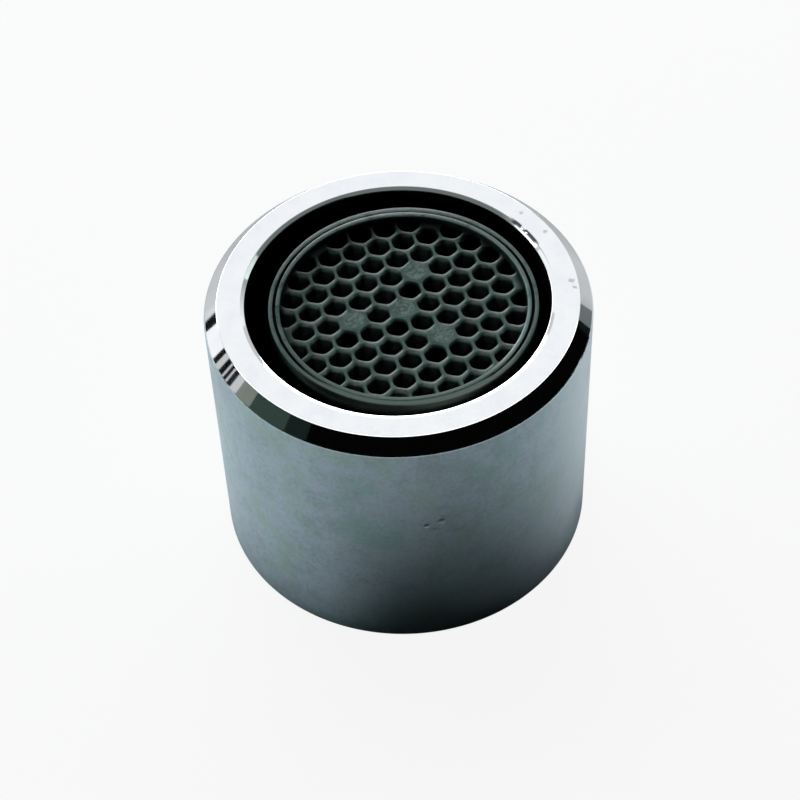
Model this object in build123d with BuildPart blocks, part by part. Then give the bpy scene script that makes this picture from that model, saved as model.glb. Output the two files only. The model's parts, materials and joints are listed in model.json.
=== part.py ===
from build123d import *
import os

# A screw-on tap aerator, standing on its threaded end with the outlet face up.
# Millimetres and degrees. The housing's axis is Z, and z = 0 is its threaded mouth.

# Housing: turned brass shell with an M22 x 1 internal thread
housing_height = 19.0
thread_bore = 20.92  # minor diameter of the thread
thread_wall = 1.54
mouth_bevel = 0.6
undercut_depth = 0.4  # room turned out behind the thread for the gasket and the flange
undercut_lead = 1.0  # undercut below the gasket, where the thread runs out
ledge_width = 1.01  # shoulder that stops the insert, measured from the thread's bore
outlet_bevel = 0.85
lip_width = 0.25  # shallow lip that slopes from the outlet face into the bore
lip_drop = 0.1

# How the insert lies in the housing and how its pieces fit each other
flange_play = 0.36  # radial room of the flange inside the thread
insert_shift = 0.33  # the loose insert has slid this far to one side
air_gap = 1.12  # radial room round the barrel, through which air is drawn in
push_gap = 0.05  # radial gap between pieces that push together

# Insert barrel: one moulding with a seating flange, air windows and a honeycomb outlet
flange_thickness = 1.4
barrel_wall = 0.68
rim_recess = 0.52  # barrel's rim below the outlet face
groove_width = 0.14  # fine groove round the middle of the rim
groove_depth = 0.4
window_count = 4
window_width = 7.6
window_height = 1.6
window_rise = 0.2  # windows above the flange
cell_recess = 0.43  # cells below the rim
cell_depth = 2.4
cell_pitch = 1.605
cell_wall = 0.28
lattice_angle = 14.6
blank_steps = 2  # pitches from the centre to the three outer blank cells
post_width = 1.0
post_length = 0.6

# Mixing grids: two moulded wheels of spokes, one behind the other
grid_thickness = 0.8
grid_spacing = 0.8
grid_rim = 0.8
grid_web = 0.4
spoke_count = 12

# Jet plate: slotted disc with legs that hold the grids
chamber_height = 2.65  # mixing room between the jets and the first grid
jet_plate_thickness = 1.4
jet_circle = 4.9  # radius of the middle of the jets
jet_count = 16
jet_length = 2.2
jet_width = 0.5
leg_width = 1.4

# Strainer: low moulded cup with a square mesh
strainer_height = 2.2
strainer_wall = 0.5
strainer_gap = 0.1  # between the strainer and the gasket
mesh_pitch = 1.6
mesh_hole = 1.1

# Gasket: flat rubber washer
gasket_thickness = 1.8
gasket_width = 3.2
gasket_gap = 0.06

# Heights, from the outlet face down
rim_z = housing_height - rim_recess
groove_z = rim_z - groove_depth
cell_z = rim_z - cell_recess
cell_base_z = cell_z - cell_depth
outlet_grid_z = cell_base_z - post_length - grid_thickness
inlet_grid_z = outlet_grid_z - grid_spacing - grid_thickness
jet_top_z = inlet_grid_z - chamber_height
flange_z = jet_top_z - jet_plate_thickness
seat_z = flange_z + flange_thickness
window_z = seat_z + window_rise
gasket_z = flange_z - gasket_thickness
undercut_z = gasket_z - undercut_lead
strainer_z = flange_z - strainer_height

# Radii, from the thread outwards and inwards
thread_radius = thread_bore / 2
housing_radius = thread_radius + thread_wall
undercut_radius = thread_radius + undercut_depth
outlet_radius = thread_radius - ledge_width
flange_radius = thread_radius - flange_play
barrel_radius = outlet_radius - air_gap
barrel_bore_radius = barrel_radius - barrel_wall
groove_bore_radius = barrel_radius - (barrel_wall + groove_width) / 2
groove_radius = groove_bore_radius + groove_width
push_radius = barrel_bore_radius - push_gap  # of the pieces inside the barrel
gasket_radius = thread_radius - gasket_gap
gasket_bore_radius = gasket_radius - gasket_width
strainer_radius = gasket_bore_radius - insert_shift - strainer_gap
strainer_bore_radius = strainer_radius - strainer_wall

# The insert's own axis, and the planes its pieces are drawn on
insert_plane = Plane(origin=(insert_shift, 0, 0))
insert_section = Plane(origin=(insert_shift, 0, 0), x_dir=(1, 0, 0), z_dir=(0, -1, 0))
insert_axis = Axis((insert_shift, 0, 0), (0, 0, 1))

os.makedirs("parts", exist_ok=True)


# Housing: one turned profile, threaded mouth at the bottom and outlet at the top
with BuildPart() as housing:
    with BuildSketch(Plane.XZ):
        with BuildLine():
            Polyline(
                (thread_radius, 0),
                (housing_radius, 0),
                (housing_radius, housing_height),
                (outlet_radius + lip_width, housing_height),
                (outlet_radius, housing_height - lip_drop),
                (outlet_radius, seat_z),
                (undercut_radius, seat_z),
                (undercut_radius, undercut_z),
                (thread_radius, undercut_z),
                close=True,
            )
        make_face()
    revolve(axis=Axis.Z)
    mouth_edge = housing.edges().group_by(Axis.Z)[0].sort_by(SortBy.RADIUS)[0]
    rim_edge = housing.edges().group_by(Axis.Z)[-1].sort_by(SortBy.RADIUS)[-1]
    chamfer(mouth_edge, mouth_bevel)
    chamfer(rim_edge, outlet_bevel)

housing.part.label = "housing"
export_step(housing.part, "parts/housing.step")


# Gasket: lies on the insert's inlet face, concentric with the thread
with BuildPart() as gasket:
    with BuildSketch(Plane.XY.offset(gasket_z)):
        Circle(gasket_radius)
        Circle(gasket_bore_radius, mode=Mode.SUBTRACT)
    extrude(amount=gasket_thickness)

gasket.part.label = "gasket"
export_step(gasket.part, "parts/gasket.step")


def lattice_points(step, turn, limit):
    """Points within limit of the centre, on the lattice of step and of step turned by turn degrees."""
    turned_step = step.rotate(Axis.Z, turn)
    reach = int(2 * limit / step.length)
    steps = range(-reach, reach + 1)
    points = [step * i + turned_step * j for i in steps for j in steps]
    return [point for point in points if point.length < limit]


# Hexagonal cells fill the barrel's bore, the centre one and three around it left blank
hexagon_angle = lattice_angle + 30
cell_step = Vector(cell_pitch, 0).rotate(Axis.Z, lattice_angle)
blank_cells = [Vector(0, 0)]
blank_cells += [cell_step.rotate(Axis.Z, turn) * blank_steps for turn in (60, 180, 300)]
open_cells = [
    cell
    for cell in lattice_points(cell_step, 60, barrel_bore_radius)
    if all((cell - blank).length > cell_pitch / 2 for blank in blank_cells)
]

# Insert barrel: flange under the ledge, plain sleeve, and the honeycomb inside a grooved rim
with BuildPart() as insert_barrel:
    with BuildSketch(insert_section):
        with BuildLine():
            Polyline(
                (0, cell_base_z),
                (barrel_bore_radius, cell_base_z),
                (barrel_bore_radius, flange_z),
                (flange_radius, flange_z),
                (flange_radius, seat_z),
                (barrel_radius, seat_z),
                (barrel_radius, rim_z),
                (groove_radius, rim_z),
                (groove_radius, groove_z),
                (groove_bore_radius, groove_z),
                (groove_bore_radius, rim_z),
                (barrel_bore_radius, rim_z),
                (barrel_bore_radius, cell_z),
                (0, cell_z),
                close=True,
            )
        make_face()
    revolve(axis=insert_axis)
    # Hexagons that the rim cuts short keep the rim's round wall
    with BuildSketch(insert_plane.offset(cell_base_z)):
        with Locations(*open_cells):
            RegularPolygon((cell_pitch - cell_wall) / 2, 6, major_radius=False, rotation=hexagon_angle)
        Circle(barrel_bore_radius, mode=Mode.INTERSECT)
    extrude(amount=cell_depth, mode=Mode.SUBTRACT)
    # A post under each blank cell spaces the outlet grid
    with BuildSketch(insert_plane.offset(cell_base_z)):
        with Locations(*blank_cells):
            RegularPolygon(post_width / 2, 6, major_radius=False, rotation=hexagon_angle)
    extrude(amount=-post_length)
    # Windows let air from round the barrel into the mixing room
    with BuildSketch(insert_plane.offset(window_z)):
        with PolarLocations(barrel_radius, window_count):
            Rectangle(4 * barrel_wall, window_width)
    extrude(amount=window_height, mode=Mode.SUBTRACT)

insert_barrel.part.label = "insert_barrel"
export_step(insert_barrel.part, "parts/insert_barrel.step")


# Mixing grids: spokes in a rim, the posts standing on spokes of the outlet grid.
# The inlet grid is turned by half a spoke pitch, and its rim stands up to carry the other.
grid_bore_radius = push_radius - grid_rim
half_spoke_pitch = 180 / spoke_count

for grid_name, grid_z, rim_height, first_spoke in (
    ("mixing_grid_inlet", inlet_grid_z, grid_thickness + grid_spacing, lattice_angle + half_spoke_pitch),
    ("mixing_grid_outlet", outlet_grid_z, grid_thickness, lattice_angle),
):
    with BuildPart() as mixing_grid:
        with BuildSketch(insert_plane.offset(grid_z)):
            Circle(push_radius)
            Circle(grid_bore_radius, mode=Mode.SUBTRACT)
        extrude(amount=rim_height)
        with BuildSketch(insert_plane.offset(grid_z)):
            with PolarLocations(grid_bore_radius / 2, spoke_count, start_angle=first_spoke):
                Rectangle(grid_bore_radius + grid_rim, grid_web)
        extrude(amount=grid_thickness)

    mixing_grid.part.label = grid_name
    export_step(mixing_grid.part, f"parts/{grid_name}.step")


# Jet plate: flush with the flange, a circle of slotted jets, legs up to the first grid
with BuildPart() as jet_plate:
    with BuildSketch(insert_plane.offset(flange_z)):
        Circle(push_radius)
        with PolarLocations(jet_circle, jet_count):
            Rectangle(jet_length, jet_width, mode=Mode.SUBTRACT)
    extrude(amount=jet_plate_thickness)
    # A leg behind each post between the air windows
    with BuildSketch(insert_plane.offset(jet_top_z)):
        with PolarLocations(push_radius, window_count, start_angle=180 / window_count):
            Rectangle(2 * grid_rim, leg_width)
        Circle(push_radius, mode=Mode.INTERSECT)
    extrude(amount=chamber_height)

jet_plate.part.label = "jet_plate"
export_step(jet_plate.part, "parts/jet_plate.step")


# Strainer: a cup that stands on the jet plate inside the gasket, mesh towards the tap
mesh_points = lattice_points(Vector(mesh_pitch, 0), 90, strainer_bore_radius - mesh_hole)

with BuildPart() as strainer:
    with BuildSketch(insert_section):
        with BuildLine():
            Polyline(
                (0, strainer_z),
                (strainer_radius, strainer_z),
                (strainer_radius, flange_z),
                (strainer_bore_radius, flange_z),
                (strainer_bore_radius, strainer_z + strainer_wall),
                (0, strainer_z + strainer_wall),
                close=True,
            )
        make_face()
    revolve(axis=insert_axis)
    with BuildSketch(insert_plane.offset(strainer_z)):
        with Locations(*mesh_points):
            Rectangle(mesh_hole, mesh_hole)
    extrude(amount=strainer_wall, mode=Mode.SUBTRACT)

strainer.part.label = "strainer"
export_step(strainer.part, "parts/strainer.step")
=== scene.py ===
import json
import math
from functools import reduce

import bpy
import numpy as np
from mathutils import Matrix, Vector
from mathutils.geometry import delaunay_2d_cdt


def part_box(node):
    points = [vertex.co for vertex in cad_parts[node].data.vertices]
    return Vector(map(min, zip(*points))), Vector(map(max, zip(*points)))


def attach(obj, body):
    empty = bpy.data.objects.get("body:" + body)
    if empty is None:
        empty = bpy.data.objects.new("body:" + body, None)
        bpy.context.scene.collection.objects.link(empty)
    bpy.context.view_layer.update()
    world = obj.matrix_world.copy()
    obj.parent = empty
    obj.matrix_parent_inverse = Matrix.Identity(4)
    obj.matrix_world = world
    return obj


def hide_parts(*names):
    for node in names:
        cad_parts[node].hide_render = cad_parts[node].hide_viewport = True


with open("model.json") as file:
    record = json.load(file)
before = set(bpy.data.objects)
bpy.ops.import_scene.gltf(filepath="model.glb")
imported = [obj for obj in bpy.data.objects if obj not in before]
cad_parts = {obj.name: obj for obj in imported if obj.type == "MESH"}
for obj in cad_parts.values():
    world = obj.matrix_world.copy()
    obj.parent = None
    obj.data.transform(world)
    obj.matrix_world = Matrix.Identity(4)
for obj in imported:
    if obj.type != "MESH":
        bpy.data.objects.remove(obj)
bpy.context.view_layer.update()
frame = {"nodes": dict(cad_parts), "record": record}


# Housing: a short shell turned from brass bar and chrome plated, with a bevelled outlet ring at the top.
# An M22 x 1 thread, cut inside the mouth that it stands on, screws onto the tap's spout.
MM = 0.001
housing_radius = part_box("housing")[1].x / MM
housing_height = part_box("housing")[1].z / MM
mounts = {mount["name"]: mount for mount in frame["record"]["mounts"]}
thread_radius = mounts["tap_thread"]["dims"]["r_mm"]
thread_pitch = 1.0
thread_depth = 0.54
thread_flank = 1.45  # steepness of the thread's sides
thread_crest = 0.2  # share of the wave that is cut off flat
thread_runout = 0.2  # share of the depth that is left at the undercut
thread_rows = 140
thread_margin = 0.05  # plain bore at either end of the thread
mouth_bevel = 0.6
undercut_radius = 10.86
undercut_z = 5.8
outlet_radius = 9.45
outlet_bevel = 0.85
lip_width = 0.25
lip_fall = 0.1
lip_radius = outlet_radius + lip_width
flange_thickness = 1.4
seat_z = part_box("gasket")[1].z / MM + flange_thickness
corner_steps = 6
turn_steps = 288
full_turn = np.linspace(0, 2 * np.pi, turn_steps, endpoint=False)[:, None]


def rounded(corners, pad=0.03):
    """Closed outline through corners (r, z, round): each corner becomes an arc tangent to both its sides,
    with one more point just before and after the arc, so that the straight runs stay flat when shaded."""
    corners = np.array(corners, float)
    point, radius = corners[:, :2], corners[:, 2:]
    back = np.roll(point, 1, 0) - point
    ahead = np.roll(point, -1, 0) - point
    back /= np.linalg.norm(back, axis=1, keepdims=True)
    ahead /= np.linalg.norm(ahead, axis=1, keepdims=True)
    half = np.arccos((back * ahead).sum(1, keepdims=True)) / 2
    reach = radius / np.tan(half)
    middle = back + ahead
    centre = point + middle / np.linalg.norm(middle, axis=1, keepdims=True) * radius / np.sin(half)
    turn = (np.pi - 2 * half)[:, None]
    share = np.linspace(0, 1, corner_steps)[None, :, None]
    first = (point + back * reach - centre)[:, None]
    last = (point + ahead * reach - centre)[:, None]
    swept = np.sin((1 - share) * turn) * first + np.sin(share * turn) * last
    arc = swept / np.sin(turn) + centre[:, None]
    before = (point + back * (reach + pad))[:, None]
    after = (point + ahead * (reach + pad))[:, None]
    return np.concatenate([before, arc, after], axis=1).reshape(-1, 2)


def grid_faces(rows, columns, wrap_rows=True, wrap_columns=True):
    """Quads of a grid of points, its rows and columns closed into rings where asked."""
    row = np.arange(rows if wrap_rows else rows - 1)[:, None]
    column = np.arange(columns if wrap_columns else columns - 1)[None]
    this_row = row * columns
    next_row = (row + 1) % rows * columns
    next_column = (column + 1) % columns
    corners = (this_row + column, next_row + column, next_row + next_column, this_row + next_column)
    return np.stack(np.broadcast_arrays(*corners), -1).reshape(-1, 4)


def lathe(radius, z, centre_x=0.0):
    """Surface of revolution: a closed outline (r, z), carried round Z.
    The radius and the height may also change with the turn."""
    radius, z = np.broadcast_arrays(radius, z)
    radius = np.broadcast_to(radius, (turn_steps, radius.shape[-1]))
    z = np.broadcast_to(z, radius.shape)
    points = np.stack([centre_x + radius * np.cos(full_turn), radius * np.sin(full_turn), z], -1)
    return points.reshape(-1, 3), grid_faces(*radius.shape)


def piece(name, shells, material, sharp=38):
    """One object, in metres, from closed shells of points in millimetres and their faces.
    Edges that turn by more than the sharp angle, in degrees, are shaded as corners."""
    points, faces, count = [], [], 0
    for shell_points, *shell_faces in shells:
        points.append(shell_points)
        for block in shell_faces:
            faces += (block + count).tolist()
        count += len(shell_points)
    mesh = bpy.data.meshes.new(name)
    mesh.from_pydata((np.concatenate(points) * MM).tolist(), [], faces)
    mesh.validate()
    mesh.shade_smooth()
    mesh.set_sharp_from_angle(angle=math.radians(sharp))
    mesh.materials.append(material)
    made = bpy.data.objects.new(name, mesh)
    bpy.context.scene.collection.objects.link(made)
    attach(made, "root")
    return made


def thread_height(turn, z):
    """Depth of the thread's groove: a wave along the helix z = pitch * turn, with flats at crest and root,
    that runs out under the undercut."""
    phase = (z / thread_pitch - turn / (2 * np.pi)) % 1.0
    wave = np.clip((1 - np.abs(2 * phase - 1)) * thread_flank - thread_crest, 0, 1)
    return thread_depth * wave * np.clip((undercut_z - z) / thread_pitch, thread_runout, 1)


def new_material(name):
    """A new material, its node tree and its shader."""
    made = bpy.data.materials.new(name)
    made.use_nodes = True
    return made, made.node_tree, made.node_tree.nodes["Principled BSDF"]


def add(tree, kind, **values):
    """A new node with its values set: a name with a capital letter is an input, with _ for each space,
    and any other name is a property."""
    made = tree.nodes.new("ShaderNode" + kind)
    for name, value in values.items():
        if name[0].isupper():
            made.inputs[name.replace("_", " ")].default_value = value
        else:
            setattr(made, name, value)
    return made


def feed(tree, socket, part):
    """Sets an input to a plain value, or links it to an output."""
    if isinstance(part, (int, float, tuple)):
        socket.default_value = part
    else:
        tree.links.new(part, socket)


def maths(tree, operation, *parts):
    """Output of a Math node on outputs or plain numbers."""
    made = add(tree, "Math", operation=operation)
    for socket, part in zip(made.inputs, parts):
        feed(tree, socket, part)
    return made.outputs[0]


def product(tree, *parts):
    """All the parts multiplied together."""
    return reduce(lambda first, second: maths(tree, "MULTIPLY", first, second), parts)


def largest(tree, *parts):
    """The largest of the parts."""
    return reduce(lambda first, second: maths(tree, "MAXIMUM", first, second), parts)


def fade(tree, value, start, end):
    """Output that goes smoothly from 0 at start to 1 at end, whichever of the two is lower."""
    low, high = sorted((start, end))
    made = add(tree, "MapRange", interpolation_type="SMOOTHSTEP", From_Min=low, From_Max=high)
    made.inputs["To Min"].default_value = float(start > end)
    made.inputs["To Max"].default_value = float(start < end)
    tree.links.new(value, made.inputs["Value"])
    return made.outputs["Result"]


def band(tree, value, start, full, last, end):
    """Output that rises from 0 at start to 1 at full, and falls from 1 at last to 0 at end."""
    return product(tree, fade(tree, value, start, full), fade(tree, value, end, last))


def spot(tree, where, centre, size, core):
    """1 within the core distance of a centre, falling to 0 at the size."""
    gap = add(tree, "VectorMath", operation="DISTANCE")
    gap.inputs[1].default_value = centre
    tree.links.new(where, gap.inputs[0])
    return fade(tree, gap.outputs["Value"], size, core)


def mixed(tree, share, first, second):
    """Colour between two colours, each an output or three numbers."""
    made = add(tree, "Mix", data_type="RGBA")
    for index, part in ((0, share), (6, first), (7, second)):
        feed(tree, made.inputs[index], (*part, 1) if isinstance(part, tuple) else part)
    return made.outputs[2]


def ramp(tree, value, stops):
    """Colour ramp through stops (place, colour)."""
    made = add(tree, "ValToRGB")
    elements = made.color_ramp.elements
    while len(elements) < len(stops):
        elements.new(1.0)
    for element, (place, colour) in zip(elements, stops):
        element.position = place
        element.color = (*colour, 1)
    tree.links.new(value, made.inputs["Fac"])
    return made.outputs["Color"]


def noise(tree, place, **values):
    """Cloudy texture through the piece, its Scale counted along one metre."""
    made = add(tree, "TexNoise", **values)
    tree.links.new(place, made.inputs["Vector"])
    return made.outputs["Fac"]


def roughen(tree, shader, height, **values):
    """Gives a shader the bumps of a height."""
    bump = add(tree, "Bump", **values)
    tree.links.new(height, bump.inputs["Height"])
    tree.links.new(bump.outputs[0], shader.inputs["Normal"])


def measured(tree, centre_x=0.0):
    """Object coordinates in metres, for textures, then in millimetres from an upright axis at centre_x:
    as one vector, as x, y and z, and as the distance from that axis."""
    place = add(tree, "TexCoord").outputs["Object"]
    in_mm = add(tree, "VectorMath", operation="MULTIPLY_ADD")
    in_mm.inputs[1].default_value = (1 / MM,) * 3
    in_mm.inputs[2].default_value = (-centre_x, 0, 0)
    tree.links.new(place, in_mm.inputs[0])
    split = add(tree, "SeparateXYZ")
    tree.links.new(in_mm.outputs[0], split.inputs[0])
    x, y, z = split.outputs
    square = maths(tree, "ADD", product(tree, x, x), product(tree, y, y))
    return place, in_mm.outputs[0], (x, y, z), maths(tree, "SQRT", square)


chrome_colour = (0.54, 0.555, 0.57)
chrome_scuffed = (0.50, 0.52, 0.545)
film_colours = [
    (0.34, (0.45, 0.68, 0.68)),
    (0.44, (0.57, 0.73, 0.80)),
    (0.52, (0.60, 0.71, 0.84)),
    (0.58, (0.55, 0.74, 0.76)),
    (0.68, (0.53, 0.66, 0.63)),
]
film_dull = (0.42, 0.53, 0.56)
# Painted shade on the film at the foot in front, painted light on the film to the right, a painted
# reflection on the lip at the back, and painted shade in the bore
film_shade_colour = (0.16, 0.22, 0.23)
film_light_colour = (0.80, 0.92, 0.97)
lip_reflection_colour = (0.13, 0.155, 0.15)
bore_shade_colour = (0.06, 0.06, 0.06)
mark_colour = (0.03, 0.03, 0.035)
# Where painted shade and painted light fall on the film, and where the lip is torn: turns in degrees,
# heights in millimetres
film_shade_turn = (-120, -92, -65, -25)
film_shade_rise = (16, -3)
film_light_turn = (-60, -20, 30, 60)
film_light_rise = (0.5, 5)
burr_turn = (22.28, 26.86, 38.14, 42.72)
# Pits, dull spots and rough patches: turn in degrees, radius, height and size in millimetres
pits = [
    (-80.0, 12.0, 11.75, 0.3),
    (-84.5, 12.0, 11.45, 0.25),
]
dull_spots = [
    (40.4, 10.57, 19.0, 0.2),
    (28.3, 10.71, 19.0, 0.2),
    (4.0, 10.73, 19.0, 0.25),
    (1.0, 10.9, 19.0, 0.2),
]
rough_patches = [
    (-103.0, 12.0, 6.0, 2.6),
    (-117.0, 12.0, 6.6, 1.2),
    (-143.5, 12.0, 3.4, 3.0),
    (-156.5, 12.0, 10.4, 1.2),
    (-79.0, 12.0, 11.2, 2.2),
    (-66.0, 12.0, 11.6, 1.6),
    (-14.0, 12.0, 11.0, 1.0),
    (-8.0, 12.0, 1.8, 1.0),
    (-125.0, 12.0, 3.0, 1.6),
]
spot_core = 0.3  # share of a spot's size within which it is full
spot_shake = 0.3  # how far the outlines of spots wander


def chrome_material():
    """Bright plating under a cloudy film, with pits, dull spots and a torn lip, and with painted shade,
    painted light and a painted reflection. Each mark is a share from 0 to 1, the product of fades along the
    turn, the radius, the height or a noise."""
    made, tree, shader = new_material("chrome_plate")
    place, in_mm, (x, y, z), radius = measured(tree)
    turn = maths(tree, "DEGREES", maths(tree, "ARCTAN2", y, x))
    outside = fade(tree, radius, housing_radius - 0.1, housing_radius - 0.015)
    inside = product(
        tree,
        fade(tree, z, housing_height - 0.12, housing_height - 0.4),
        fade(tree, radius, undercut_radius + 0.35, undercut_radius + 0.25),
    )

    # Cloudy film of finger marks on the wall, duller towards the bottom, with painted light that makes it
    # lighter to the right and painted shade that darkens it at the foot in front
    cloud = noise(tree, place, Scale=210, Detail=5, Roughness=0.62, Distortion=0.4)
    smear = noise(tree, place, Scale=620, Detail=5, Roughness=0.7)
    grain = noise(tree, place, Scale=3600, Detail=2, Roughness=0.7)
    dull = product(tree, fade(tree, smear, 0.42, 0.75), 0.6)
    dull = maths(tree, "MULTIPLY_ADD", fade(tree, grain, 0.38, 0.7), 0.5, dull)
    dull = maths(tree, "MULTIPLY_ADD", fade(tree, z, 4, 0), 0.2, dull)
    film = mixed(tree, dull, ramp(tree, cloud, film_colours), film_dull)
    painted_film_light = product(tree, band(tree, turn, *film_light_turn), fade(tree, z, *film_light_rise), 0.7)
    film = mixed(tree, painted_film_light, film, film_light_colour)
    painted_foot_shade = product(tree, band(tree, turn, *film_shade_turn), fade(tree, z, *film_shade_rise))
    film = mixed(tree, painted_foot_shade, film, film_shade_colour)

    # Scuffed outlet ring, with a painted reflection that makes its lip dark at the back, a painted line of
    # shade behind it, and painted shade in the bore
    scuffed = ramp(tree, smear, [(0.4, chrome_colour), (0.7, chrome_scuffed)])
    colour = mixed(tree, outside, scuffed, film)
    painted_lip_reflection = product(
        tree,
        fade(tree, radius, lip_radius + 0.02, lip_radius - 0.02),
        fade(tree, y, -2, 3),
        fade(tree, x, 8.6, 6.6),
    )
    colour = mixed(tree, painted_lip_reflection, colour, lip_reflection_colour)
    painted_edge_shade = maths(tree, "COMPARE", radius, lip_radius + 0.02, 0.03)
    colour = mixed(tree, product(tree, painted_edge_shade, fade(tree, y, 1, 5), 0.75), colour, mark_colour)
    colour = mixed(tree, inside, colour, bore_shade_colour)

    # Pits, rough patches, dull spots and the torn lip
    shaken = add(tree, "TexNoise", Scale=4200, Detail=2)
    tree.links.new(place, shaken.inputs["Vector"])
    shifted = add(tree, "VectorMath", operation="MULTIPLY_ADD")
    shifted.inputs[1].default_value = (spot_shake,) * 3
    tree.links.new(shaken.outputs["Color"], shifted.inputs[0])
    tree.links.new(in_mm, shifted.inputs[2])

    def near(spots):
        """Share of the nearest of several round spots, 1 in its middle and 0 outside."""
        turns, radii, heights, sizes = np.array(spots).T
        turns = np.radians(turns)
        centres = np.stack([radii * np.cos(turns), radii * np.sin(turns), heights], -1) + spot_shake / 2
        shares = [
            spot(tree, shifted.outputs[0], centre, size, spot_core * size)
            for centre, size in zip(centres.tolist(), sizes.tolist())
        ]
        return largest(tree, *shares)

    holes = noise(tree, place, Scale=2700, Detail=2, Roughness=0.5)
    pitted = product(tree, fade(tree, holes, 0.54, 0.68), near(rough_patches), 0.32)
    marks = largest(tree, near(pits), pitted)
    chips = noise(tree, place, Scale=1700, Detail=3, Roughness=0.6)
    torn = product(
        tree,
        band(tree, turn, *burr_turn),
        fade(tree, radius, outlet_radius + 0.08, outlet_radius + 0.18),
        fade(tree, radius, outlet_radius + 0.46, outlet_radius + 0.34),
        fade(tree, z, housing_height - 0.2, housing_height - 0.12),
        fade(tree, chips, 0.38, 0.44),
    )
    dark = largest(tree, product(tree, marks, 0.5), product(tree, near(dull_spots), 0.4), torn)
    tree.links.new(mixed(tree, dark, colour, mark_colour), shader.inputs["Base Color"])
    shader.inputs["Metallic"].default_value = 1.0
    haze = maths(tree, "MULTIPLY_ADD", smear, 0.12, 0.13)
    rough = maths(tree, "MULTIPLY_ADD", outside, haze, 0.05)
    rough = maths(tree, "MULTIPLY_ADD", inside, 0.25, rough)
    tree.links.new(rough, shader.inputs["Roughness"])
    uneven = product(tree, outside, grain, 0.4)
    height = maths(tree, "ADD", marks, uneven)
    roughen(tree, shader, height, Strength=0.6, Distance=0.00006, invert=True)
    return made


# Radius, height and rounding of each corner, up the outside and down the inside
outline = rounded([
    (housing_radius, 0, 0.12),
    (housing_radius, housing_height - outlet_bevel, 0.1),
    (housing_radius - outlet_bevel, housing_height, 0.08),
    (lip_radius, housing_height, 0.05),
    (outlet_radius, housing_height - lip_fall, 0.05),
    (outlet_radius, seat_z, 0.05),
    (undercut_radius, seat_z, 0.05),
    (undercut_radius, undercut_z, 0.05),
    (thread_radius, undercut_z, 0.01),
    (thread_radius + mouth_bevel, 0, 0.05),
])
# The thread's rows go in before the last corner, which has one more point at either end of its arc
thread_place = len(outline) - (corner_steps + 2)
thread_z = np.linspace(undercut_z - thread_margin, thread_margin, thread_rows)
bore = thread_radius + np.clip(mouth_bevel - thread_z, 0, None)
outline = np.insert(outline, thread_place, np.stack([bore, thread_z], 1), axis=0)
in_thread = slice(thread_place, thread_place + thread_rows)
housing_r = np.repeat(outline[None, :, 0], turn_steps, 0)
thread_r = thread_radius + thread_height(full_turn, thread_z[None])
housing_r[:, in_thread] = np.maximum(housing_r[:, in_thread], thread_r)
housing = piece("housing_shell", [lathe(housing_r, outline[:, 1])], chrome_material())
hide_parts("housing")


# Gasket: a flat washer, moulded in black rubber.
# It lies on the insert's flange, where the end of the tap's spout presses on it.
gasket_low, gasket_high = (corner.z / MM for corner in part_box("gasket"))
gasket_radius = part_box("gasket")[1].x / MM
gasket_bore = 7.2
gasket_round = 0.15
rubber_colours = [(0.38, (0.014, 0.014, 0.015)), (0.64, (0.032, 0.032, 0.031))]


def rubber_material():
    """Matt black rubber: a patchy bloom sets its colour and its roughness, and a fine grain its bumps."""
    made, tree, shader = new_material("black_rubber")
    place = add(tree, "TexCoord").outputs["Object"]
    bloom = noise(tree, place, Scale=420, Detail=4, Roughness=0.6)
    grain = noise(tree, place, Scale=6000, Detail=2)
    tree.links.new(ramp(tree, bloom, rubber_colours), shader.inputs["Base Color"])
    tree.links.new(maths(tree, "MULTIPLY_ADD", bloom, 0.3, 0.45), shader.inputs["Roughness"])
    roughen(tree, shader, grain, Strength=0.3, Distance=0.00003)
    return made


gasket_outline = rounded([
    (gasket_bore, gasket_low, gasket_round),
    (gasket_radius, gasket_low, gasket_round),
    (gasket_radius, gasket_high, gasket_round),
    (gasket_bore, gasket_high, gasket_round),
])
gasket = piece("gasket_washer", [lathe(*gasket_outline.T)], rubber_material())
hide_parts("gasket")


# Insert barrel: one moulding in dark grey plastic. A flange seats under the housing's ledge, four windows
# let air in, and a honeycomb fills the outlet inside a grooved rim. It lies loose, a little to one side.
barrel_low, barrel_high = (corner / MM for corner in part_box("insert_barrel"))
insert_x = (barrel_low.x + barrel_high.x) / 2
flange_radius = (barrel_high.x - barrel_low.x) / 2
rim_z = barrel_high.z
barrel_radius = 8.33
barrel_bore = 7.65
groove_middle = (barrel_radius + barrel_bore) / 2
groove_width = 0.2
groove_depth = 0.4
groove_out = groove_middle + groove_width / 2
groove_in = groove_middle - groove_width / 2
groove_edge = 0.035  # rounded edge on each side of the groove
lime_depth = 0.9  # share of the groove's depth that lime fills in front
lime_start, lime_full = 0.6, 0.85  # where the lime starts and is full, from 0 at the sides to 1 in front
window_rise = 0.2
window_height = 1.6
window_width = 7.6
window_low = seat_z + window_rise
window_high = window_low + window_height
window_post_turns = np.radians([45, 135, 225, 315])
cell_recess = 0.53
cell_depth = 2.3
cell_top = rim_z - cell_recess
cell_base = cell_top - cell_depth
cell_pitch = 1.605
cell_wall = 0.28
cell_round = 0.008
cell_draft = 0.06  # cells this much wider, on each side, at the outlet
cell_bite = 0.04  # cells at the edge go this far into the wall of the rim
cell_steps = 48
lattice_angle = math.radians(14.6)
lattice_reach = 6  # steps of the lattice, either way, that cover the bore
across = np.array([math.cos(lattice_angle), math.sin(lattice_angle)])
along = np.array([math.cos(lattice_angle + math.pi / 3), math.sin(lattice_angle + math.pi / 3)])
blank_cells = np.array([(0, 0), (0, 2), (-2, 0), (2, -2)])  # steps across and along the lattice
blank_centres = cell_pitch * (blank_cells[:, :1] * across + blank_cells[:, 1:] * along)
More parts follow.
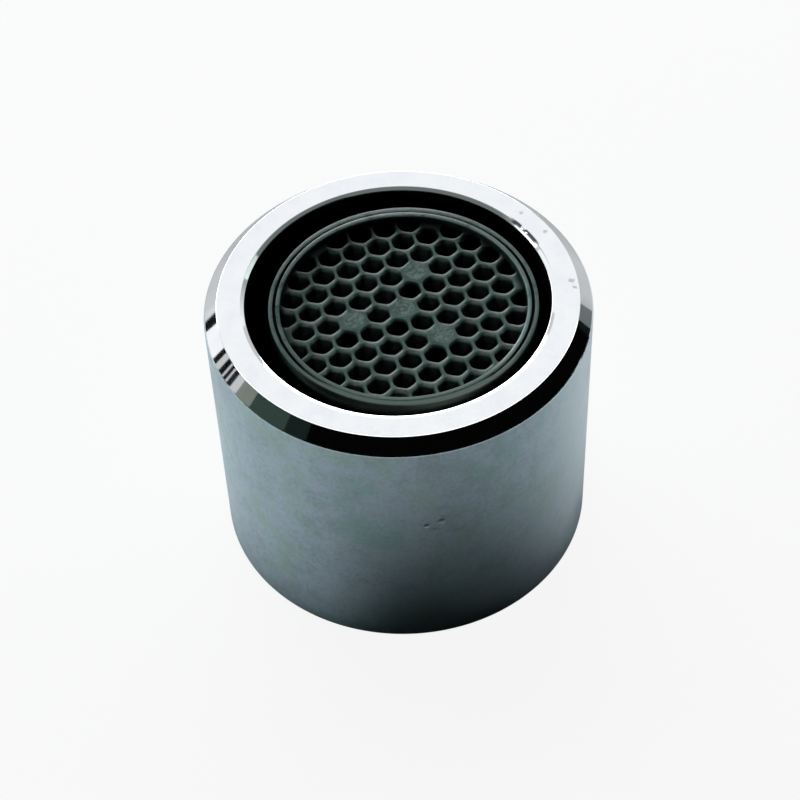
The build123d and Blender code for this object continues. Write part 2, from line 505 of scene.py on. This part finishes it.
blank_dish = 0.05
web_edge = 8.0  # the web goes this far out, into the wall of the rim
post_width = 1.0
post_length = 0.6
overlap = 0.05  # posts go this far into what they join
plastic_body = (0.068, 0.130, 0.113)
# Painted light on top of the rim at the sides and the back
plastic_rim_light = (0.155, 0.225, 0.22)
plastic_crest = (0.095, 0.150, 0.137)
plastic_frosted = (0.17, 0.245, 0.225)
# Painted light on the rim in front and on its outside wall in front, that wall with painted shade to the
# left
plastic_front_light = (0.15, 0.215, 0.195)
plastic_wall_light = [
    (0.0, (0.026, 0.030, 0.027)),
    (0.2, (0.085, 0.100, 0.090)),
    (0.5, (0.136, 0.160, 0.144)),
    (0.8, (0.34, 0.40, 0.36)),
    (1.0, (0.44, 0.52, 0.47)),
]
# Painted shade deep in the cells, at the foot of the rim, in its groove and at the back
plastic_shade_colour = (0.006, 0.009, 0.008)
plastic_reach = 2.2  # how far light gets into the plastic


def tones(colour, dark, pale, span=(0.35, 0.65)):
    """Two stops of a ramp: a colour times dark, and the same colour times pale."""
    return [(place, tuple(tone * part for part in colour)) for place, tone in zip(span, (dark, pale))]


def plastic_material():
    """Mottled dark plastic that lets light in. Wear, painted light and painted shade are shares from 0 to
    1, each the product of fades along the height, the radius and the two directions in plan."""
    made, tree, shader = new_material("dark_plastic")
    place, in_mm, (x, y, z), radius = measured(tree, insert_x)
    mottle = noise(tree, place, Scale=900, Detail=4, Roughness=0.6)
    grain = noise(tree, place, Scale=5000, Detail=3)
    body = ramp(tree, mottle, tones(plastic_body, 0.78, 1.2))

    # Painted light, in patches, on top of the rim at the sides and the back; scuffed on the tops of the
    # webs, frosted on the blank cells
    painted_rim_light = product(
        tree,
        fade(tree, z, rim_z - 0.12, rim_z - 0.02),
        fade(tree, y, -6.5, -0.5),
        fade(tree, mottle, 0.25, 0.5),
    )
    body = mixed(tree, painted_rim_light, body, plastic_rim_light)
    web_top = band(tree, z, cell_top - 0.08, cell_top - 0.02, cell_top + 0.03, cell_top + 0.08)
    body = mixed(tree, web_top, body, ramp(tree, mottle, tones(plastic_crest, 0.8, 1.25)))
    blanks = [spot(tree, in_mm, (*centre, cell_top), 0.85, 0.5) for centre in blank_centres.tolist()]
    frosted = largest(tree, *blanks)
    frost = ramp(tree, grain, tones(plastic_frosted, 0.7, 1.3, span=(0.38, 0.62)))
    body = mixed(tree, frosted, body, frost)

    # Painted light on the rim in front and on its outside wall in front, which is paler to the right and
    # has painted shade to the left, and painted shade deep down in the cells
    painted_front_light = product(
        tree,
        fade(tree, y, -3.5, -6.5),
        fade(tree, radius, barrel_bore - 0.08, barrel_bore - 0.02),
        fade(tree, z, cell_top + 0.08, cell_top + 0.16),
    )
    body = mixed(tree, painted_front_light, body, plastic_front_light)
    painted_wall_light = product(
        tree,
        fade(tree, y, -4, -7),
        fade(tree, radius, barrel_radius - 0.09, barrel_radius - 0.02),
        fade(tree, z, rim_z - 0.6, rim_z - 0.25),
    )
    body = mixed(tree, painted_wall_light, body, ramp(tree, fade(tree, x, -5, 4), plastic_wall_light))
    body = mixed(tree, fade(tree, z, cell_top - 0.42, cell_top - 0.06), plastic_shade_colour, body)

    # Painted shade at the foot of the rim except in front, in its groove at the sides, and under the web's
    # top at the back
    below_rim = fade(tree, z, rim_z - 0.08, rim_z - 0.2)
    painted_foot_shade = product(
        tree,
        fade(tree, radius, barrel_bore - 0.5, barrel_bore),
        below_rim,
        largest(tree, fade(tree, y, -6, -3), fade(tree, x, 2, 5)),
    )
    painted_far_shade = product(tree, fade(tree, radius, 6.0, 7.2), below_rim, fade(tree, y, 1.5, 5.5))
    painted_groove_shade = product(
        tree,
        band(tree, radius, groove_in - 0.03, groove_in - 0.01, groove_out + 0.01, groove_out + 0.03),
        fade(tree, z, rim_z - 0.04, rim_z - 0.1),
        fade(tree, maths(tree, "ABSOLUTE", y), 6.5, 4),
    )
    back = product(
        tree,
        fade(tree, y, -2, 6.5),
        fade(tree, z, cell_top - 0.01, cell_top - 0.05),
        maths(tree, "SUBTRACT", 1.0, frosted),
    )
    painted_foot_shade = product(tree, largest(tree, painted_foot_shade, painted_far_shade), 0.9)
    painted_insert_shade = largest(tree, painted_foot_shade, painted_groove_shade, product(tree, back, 0.85))
    tree.links.new(mixed(tree, painted_insert_shade, body, plastic_shade_colour), shader.inputs["Base Color"])
    tree.links.new(maths(tree, "MULTIPLY_ADD", mottle, 0.25, 0.45), shader.inputs["Roughness"])
    shader.inputs["Specular IOR Level"].default_value = 0.015

    # Light gets through the clean plastic, less through scuffs and the painted light on the rim in front,
    # and not through the painted shade in the groove
    scuffed = product(tree, largest(tree, web_top, frosted), 0.55)
    opaque = largest(tree, scuffed, painted_groove_shade, product(tree, painted_front_light, 0.85))
    tree.links.new(maths(tree, "SUBTRACT", 1.0, opaque), shader.inputs["Subsurface Weight"])
    shader.inputs["Subsurface Radius"].default_value = (1.0, 1.0, 1.0)
    shader.inputs["Subsurface Scale"].default_value = plastic_reach * MM
    roughen(tree, shader, grain, Strength=0.4, Distance=0.00004)
    return made


def directions(count):
    """Unit vectors, evenly turned through a full circle."""
    turn = np.linspace(0, 2 * np.pi, count, endpoint=False)
    return np.stack([np.cos(turn), np.sin(turn)], -1)


def hexagon_reach(centres, half_width, sharpness=9):
    """Distance from each cell's centre to its outline in each direction: the soft minimum of the distances
    to the hexagon's six sides and to the barrel's bore, which leaves the corners slightly rounded."""
    heading = directions(cell_steps)
    sides = lattice_angle + np.arange(6) * np.pi / 3
    facing = np.clip(heading @ np.stack([np.cos(sides), np.sin(sides)]), 0, None) / half_width
    onward = centres @ heading.T
    to_bore = np.sqrt(onward**2 - (centres**2).sum(1)[:, None] + (barrel_bore + cell_bite)**2) - onward
    inverse = (facing**sharpness).sum(1)[None] + to_bore**-sharpness
    return inverse**(-1 / sharpness)


def at_height(plan, z):
    """Points in plan, all at one height."""
    return np.concatenate([plan, np.full((len(plan), 1), z)], 1)


def honeycomb():
    """A level web pierced by hexagonal cells. Each cell is a profile, a rounded lip and a drafted wall,
    carried round its outline. Triangles fill the level faces between the outlines, above and below."""
    steps = np.arange(-lattice_reach, lattice_reach + 1)
    i, j = (index.ravel() for index in np.meshgrid(steps, steps))
    centres = cell_pitch * (i[:, None] * across + j[:, None] * along)
    is_cell = np.hypot(*centres.T) < barrel_bore
    i, j, centres = i[is_cell], j[is_cell], centres[is_cell]
    is_blank = (np.stack([i, j], -1)[:, None] == blank_cells).all(-1).any(-1)
    heading = directions(cell_steps)
    reach = hexagon_reach(centres, (cell_pitch - cell_wall) / 2)

    # Lip and wall of the open cells, from the top face down
    quarter = np.linspace(0, np.pi / 2, 4)
    corner = cell_round * (1 - np.sin(quarter))
    corner_z = cell_round * (1 - np.cos(quarter))
    wall_z = np.array([0.2, 0.4, 0.6, cell_top - cell_base - 0.1])
    wall_out = cell_draft * np.array([0.6, 0.2, 0, -0.2])
    out = np.concatenate([cell_draft + corner, wall_out, corner[::-1] - 0.2 * cell_draft])
    z = np.concatenate([cell_top - corner_z, cell_top - wall_z, cell_base + corner_z[::-1]])
    cells = centres[~is_blank]
    span = (reach[~is_blank][:, None] + out[None, :, None])[..., None] * heading
    ring_z = np.broadcast_to(z[None, :, None, None], span.shape[:3] + (1,))
    ring = np.concatenate([cells[:, None, None] + span, ring_z], -1)

    # Dished tops of the blank cells
    share = np.array([0.9, 0.7, 0.5, 0.3, 0.1])
    dish_span = share[:, None, None] * reach[is_blank][:, None, :, None] * heading
    dish = centres[is_blank][:, None, None] + dish_span
    dish_z = cell_top - blank_dish * (1 - share**2)
    dish_z = np.broadcast_to(dish_z[None, :, None, None], dish.shape[:3] + (1,))
    dish = np.concatenate([dish, dish_z], -1).reshape(-1, 3)

    # Faces between the cells
    rim_ring = web_edge * directions(turn_steps)
    top = np.concatenate([rim_ring, ring[:, 0, :, :2].reshape(-1, 2)])
    loop = np.concatenate([np.full(turn_steps, -1), np.repeat(np.arange(len(cells)), cell_steps)])
    here = np.arange(len(top))
    ahead = np.where(np.append(loop[1:] != loop[:-1], True), 0, here + 1)
    ends = np.flatnonzero(ahead == 0)
    ahead[ends] = np.append(0, ends[:-1] + 1)
    top = np.concatenate([top, dish[:, :2]])
    loop = np.append(loop, np.full(len(dish), -2))
    filled = delaunay_2d_cdt(top.tolist(), np.stack([here, ahead], 1).tolist(), [], 1, 1e-7)
    triangles = np.array(filled[2])
    in_cell = (np.ptp(loop[triangles], axis=1) == 0) & (loop[triangles[:, 0]] >= 0)
    triangles = triangles[~in_cell]

    # One list of points: the rim's two rings, every cell's levels, then the dishes and what is under them
    points = np.concatenate([
        at_height(rim_ring, cell_top),
        at_height(rim_ring, cell_base),
        ring.reshape(-1, 3),
        dish,
        at_height(dish[:, :2], cell_base),
    ])
    levels = len(out)
    cell_points = levels * cell_steps
    start = 2 * turn_steps + np.arange(len(cells))[:, None] * cell_points
    strip = grid_faces(levels, cell_steps, wrap_rows=False)[:, ::-1]
    walls = (start[..., None] + strip[None]).reshape(-1, 4)
    first_ring = start + np.arange(cell_steps)
    last_ring = first_ring + cell_points - cell_steps
    rim_index = np.arange(turn_steps)
    dish_index = len(points) - 2 * len(dish) + np.arange(len(dish))
    top_index = np.concatenate([rim_index, first_ring.ravel(), dish_index])
    base_index = np.concatenate([rim_index + turn_steps, last_ring.ravel(), dish_index + len(dish)])
    edge = grid_faces(2, turn_steps, wrap_rows=False)
    points[:, 0] += insert_x
    return points, walls, top_index[triangles], base_index[triangles[:, ::-1]], edge


def prism(plan, low, high):
    """An outline in plan, carried up from one height to another, its ends closed by one face each."""
    count = len(plan)
    points = np.concatenate([at_height(plan, low), at_height(plan, high)]) + [insert_x, 0, 0]
    sides = grid_faces(2, count, wrap_rows=False)[:, ::-1]
    ring = np.arange(count)[None]
    return points, sides, ring[:, ::-1], ring + count


def window_post(middle):
    """Plan of the wall between two windows: two arcs, each cut short by the windows' straight sides."""
    share = np.linspace(-1, 1, 13)
    half_out = np.pi / 4 - np.arcsin(window_width / 2 / barrel_radius)
    half_in = np.pi / 4 - np.arcsin(window_width / 2 / barrel_bore)
    turn = np.concatenate([middle + share * half_out, middle - share * half_in])
    radius = np.repeat([barrel_radius, barrel_bore], len(share))
    return np.stack([radius * np.cos(turn), radius * np.sin(turn)], -1)


def spacer(centre):
    """Plan of the post under a blank cell: a small hexagon, its reach in each direction from the centre."""
    return centre + hexagon_reach(centre[None], post_width / 2)[0][:, None] * directions(cell_steps)


window_posts = [
    prism(window_post(middle), window_low - overlap, window_high + overlap) for middle in window_post_turns
]
spacers = [
    prism(spacer(centre), cell_base - post_length, cell_base + overlap) for centre in blank_centres
]
# Radius, height and rounding of each corner
lower_ring = rounded([
    (barrel_bore, barrel_low.z, 0.05),
    (flange_radius, barrel_low.z, 0.1),
    (flange_radius, seat_z, 0.1),
    (barrel_radius, seat_z, 0.05),
    (barrel_radius, window_low, 0.03),
    (barrel_bore, window_low, 0.03),
])
sleeve = rounded([
    (barrel_bore, window_high, 0.03),
    (barrel_radius, window_high, 0.03),
    (barrel_radius, rim_z, 0.06),
    (groove_out, rim_z, 0.03),
    (groove_out, rim_z - groove_depth, 0.05),
    (groove_in, rim_z - groove_depth, 0.05),
    (groove_in, rim_z, 0.03),
    (barrel_bore, rim_z, 0.04),
], pad=0.005)
# Lime fills most of the groove in front
limed_up = lime_depth * np.clip((-np.sin(full_turn) - lime_start) / (lime_full - lime_start), 0, 1)
in_groove = np.abs(sleeve[:, 0] - groove_middle) < groove_width / 2 + groove_edge
sleeve_z = sleeve[None, :, 1] + limed_up * in_groove * (rim_z - sleeve[:, 1])
rings = [lathe(*lower_ring.T, insert_x), lathe(sleeve[:, 0], sleeve_z, insert_x)]
plastic = plastic_material()
barrel = piece(
    "insert_moulding", [*rings, honeycomb(), *window_posts, *spacers], plastic, sharp=14
)
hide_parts("insert_barrel")


# Jet plate and mixing grids: smaller mouldings in the same dark plastic, stacked inside the barrel.
# The plate pushes in flush with the flange, and its legs and the grids' rims hold the stack apart.
for node in ("jet_plate", "mixing_grid_inlet", "mixing_grid_outlet"):
    frame["nodes"][node].data.materials.clear()
    frame["nodes"][node].data.materials.append(plastic)


# Strainer: a low cup moulded in pale plastic, with a square mesh.
# It stands on the jet plate, inside the gasket, and keeps grit out of the jets.
pale_colours = [(0.35, (0.56, 0.55, 0.48)), (0.5, (0.63, 0.63, 0.59)), (0.66, (0.70, 0.70, 0.67))]


def pale_material():
    """Pale plastic with a patchy scale, which sets its colour, its roughness and its bumps."""
    made, tree, shader = new_material("pale_plastic")
    place = add(tree, "TexCoord").outputs["Object"]
    scale = noise(tree, place, Scale=500, Detail=5, Roughness=0.65)
    tree.links.new(ramp(tree, scale, pale_colours), shader.inputs["Base Color"])
    tree.links.new(maths(tree, "MULTIPLY_ADD", scale, 0.3, 0.35), shader.inputs["Roughness"])
    roughen(tree, shader, scale, Strength=0.3, Distance=0.00003)
    return made


frame["nodes"]["strainer"].data.materials.clear()
frame["nodes"]["strainer"].data.materials.append(pale_material())


# Floor: a plain pale sheet of matt card that the aerator stands on.
# It keeps the shadow close by, and is white further away.
floor_size = 3.0
floor_colour = (0.76, 0.8, 0.82, 1)
shadow_pool = (0.03, 0.09)
camera_white = 0.9
mirror_white = 0.75


def floor_material():
    """Matt card mixed with a white glow: by a fixed share where the camera sees it, and fully outside the
    pool of shadow, where mirrors see part of the glow too."""
    made, tree, shader = new_material("floor_sheet")
    shader.inputs["Base Color"].default_value = floor_colour
    shader.inputs["Roughness"].default_value = 0.9
    shader.inputs["Specular IOR Level"].default_value = 0.0
    distance = add(tree, "VectorMath", operation="LENGTH")
    tree.links.new(add(tree, "TexCoord").outputs["Object"], distance.inputs[0])
    far = fade(tree, distance.outputs["Value"], *shadow_pool)
    ray = add(tree, "LightPath").outputs
    mirrored = largest(tree, ray["Is Glossy Ray"], ray["Is Transmission Ray"])
    mirrored = product(tree, mirrored, far, mirror_white)
    near = product(tree, ray["Is Camera Ray"], camera_white)
    seen = product(tree, ray["Is Camera Ray"], far)
    mix = add(tree, "MixShader")
    tree.links.new(largest(tree, near, seen, mirrored), mix.inputs["Fac"])
    tree.links.new(shader.outputs[0], mix.inputs[1])
    tree.links.new(add(tree, "Emission").outputs[0], mix.inputs[2])
    tree.links.new(mix.outputs[0], tree.nodes["Material Output"].inputs["Surface"])
    return made


def stage_sheet(name, points, faces, material):
    """A sheet of the studio, in metres, that isn't part of the object."""
    mesh = bpy.data.meshes.new(name)
    mesh.from_pydata(points.tolist(), [], faces.tolist())
    mesh.materials.append(material)
    made = bpy.data.objects.new(name, mesh)
    bpy.context.scene.collection.objects.link(made)
    return made


side = np.array([-floor_size, floor_size])
floor_points = np.stack(np.meshgrid(side, side) + [np.zeros((2, 2))], -1).reshape(-1, 3)
stage_sheet("floor", floor_points, grid_faces(2, 2, False, False)[:, ::-1], floor_material())


# Studio: a white surround and soft lights behind the object. The window light shades all but the insert,
# which has a light of its own, and the outlet ring mirrors the high lights. Dark and pale screens round
# the front, which the camera doesn't see, give the bevel its reflections.
surround = 0.07
# Turn from the front and rise in degrees, distance, width and depth in metres, and radiance
soft_lights = {
    "window_light": (-162, 17, 0.30, 0.44, 0.11, 7.2),
    "insert_light": (-120, 17, 0.30, 0.44, 0.11, 5.8),
    "top_light": (-170, 60, 0.60, 1.20, 0.10, 3.4),
    "ring_light": (180, 46.5, 0.35, 0.80, 0.14, 0.64),
    "strip_light": (-117, 7, 0.45, 0.12, 0.08, 0.68),
}
# Range of turn from the front and range of rise, both in degrees, and colour
screens = {
    "front_screen": ((-52, 118.5), (5.5, 78), (0.004, 0.004, 0.004)),
    "green_screen": ((-64, -52), (5.5, 78), (0.03, 0.05, 0.042)),
    "left_screen": ((-84, -64), (5.5, 50), (0.11, 0.17, 0.14)),
    "left_card": ((-93, -84), (5.5, 50), (0.58, 0.64, 0.54)),
    "left_slat_1": ((-99.8, -97.1), (2, 40), (0.03, 0.04, 0.04)),
    "left_slat_2": ((-102.6, -100.8), (2, 40), (0.01, 0.01, 0.01)),
    "left_slat_3": ((-106.4, -103.6), (2, 40), (0.01, 0.01, 0.01)),
    "left_slat_4": ((-112.1, -109.3), (2, 40), (0.01, 0.01, 0.01)),
    "left_edge": ((-132, -124), (-3, 0.5), (0.01, 0.01, 0.01)),
    "right_screen": ((104, 118.5), (-2.5, 8), (0.02, 0.024, 0.024)),
    "right_card": ((118.5, 126), (-2.5, 8), (0.46, 0.5, 0.5)),
}
screen_distance = 0.4
screen_grid = (33, 17)

world = bpy.data.worlds.new("studio")
world.use_nodes = True
tree = world.node_tree
ray = add(tree, "LightPath").outputs
seen = largest(tree, ray["Is Glossy Ray"], ray["Is Transmission Ray"], ray["Is Camera Ray"])
strength = maths(tree, "MULTIPLY_ADD", seen, 1 - surround, surround)
tree.links.new(strength, tree.nodes["Background"].inputs["Strength"])
tree.nodes["Background"].inputs["Color"].default_value = (1, 1, 1, 1)
bpy.context.scene.world = world


def outward(turn, rise):
    """Unit vectors at a turn from the front and a rise above the level, both in degrees."""
    turn, rise = np.radians(turn), np.radians(rise)
    return np.stack([np.cos(rise) * np.sin(turn), -np.cos(rise) * np.cos(turn), np.sin(rise)], -1)


insert_only = bpy.data.collections.new("insert_only")
insert_only.objects.link(barrel)
insert_left_out = bpy.data.collections.new("insert_left_out")
insert_left_out.objects.link(barrel)
insert_left_out.collection_objects[0].light_linking.link_state = "EXCLUDE"
for name, (turn, rise, distance, width, depth, radiance) in soft_lights.items():
    lamp = bpy.data.lights.new(name, "AREA")
    lamp.shape = "RECTANGLE"
    lamp.size = width
    lamp.size_y = depth
    lamp.energy = radiance * math.pi * width * depth
    heading = Vector(outward(turn, rise))
    facing = heading.to_track_quat("Z", "Y").to_matrix().to_4x4()
    lamp_object = bpy.data.objects.new(name, lamp)
    lamp_object.matrix_world = Matrix.Translation(distance * heading) @ facing
    if name == "insert_light":
        lamp_object.visible_glossy = False
        lamp_object.light_linking.receiver_collection = insert_only
    if name == "window_light":
        lamp_object.light_linking.receiver_collection = insert_left_out
    bpy.context.scene.collection.objects.link(lamp_object)

for name, (turn_range, rise_range, colour) in screens.items():
    card, _, shader = new_material(name)
    shader.inputs["Base Color"].default_value = (*colour, 1)
    shader.inputs["Roughness"].default_value = 1.0
    shader.inputs["Specular IOR Level"].default_value = 0.0
    # Part of a sphere round the middle of the outlet
    turns = np.linspace(*turn_range, screen_grid[0])
    rises = np.linspace(*rise_range, screen_grid[1])
    points = screen_distance * outward(*np.meshgrid(turns, rises, indexing="ij")).reshape(-1, 3)
    points[:, 2] += housing_height * MM
    screen = stage_sheet(name, points, grid_faces(*screen_grid, False, False), card)
    screen.visible_camera = False


# Camera: the photograph's own view, looking down on the outlet from in front.
# Its tilt, turn and roll are small turns from the line to the middle of the outlet face.
view_distance = 0.130634
view_height = math.radians(46.711)
view_tilt = math.radians(2.778)
view_turn = math.radians(0.059)
view_roll = math.radians(-2.442)
lens = 95.76

camera = bpy.data.cameras.new("camera")
camera.lens = lens
camera.clip_start = 0.01
camera_object = bpy.data.objects.new("camera", camera)
behind = view_distance * math.cos(view_height)
above = view_distance * math.sin(view_height)
tilt = Matrix.Rotation(math.pi / 2 - view_height - view_tilt, 4, "X")
aim = tilt @ Matrix.Rotation(view_turn, 4, "Y") @ Matrix.Rotation(view_roll, 4, "Z")
camera_object.matrix_world = Matrix.Translation((0, -behind, housing_height * MM + above)) @ aim
bpy.context.scene.collection.objects.link(camera_object)
bpy.context.scene.camera = camera_object
bpy.context.scene.view_settings.view_transform = "Standard"
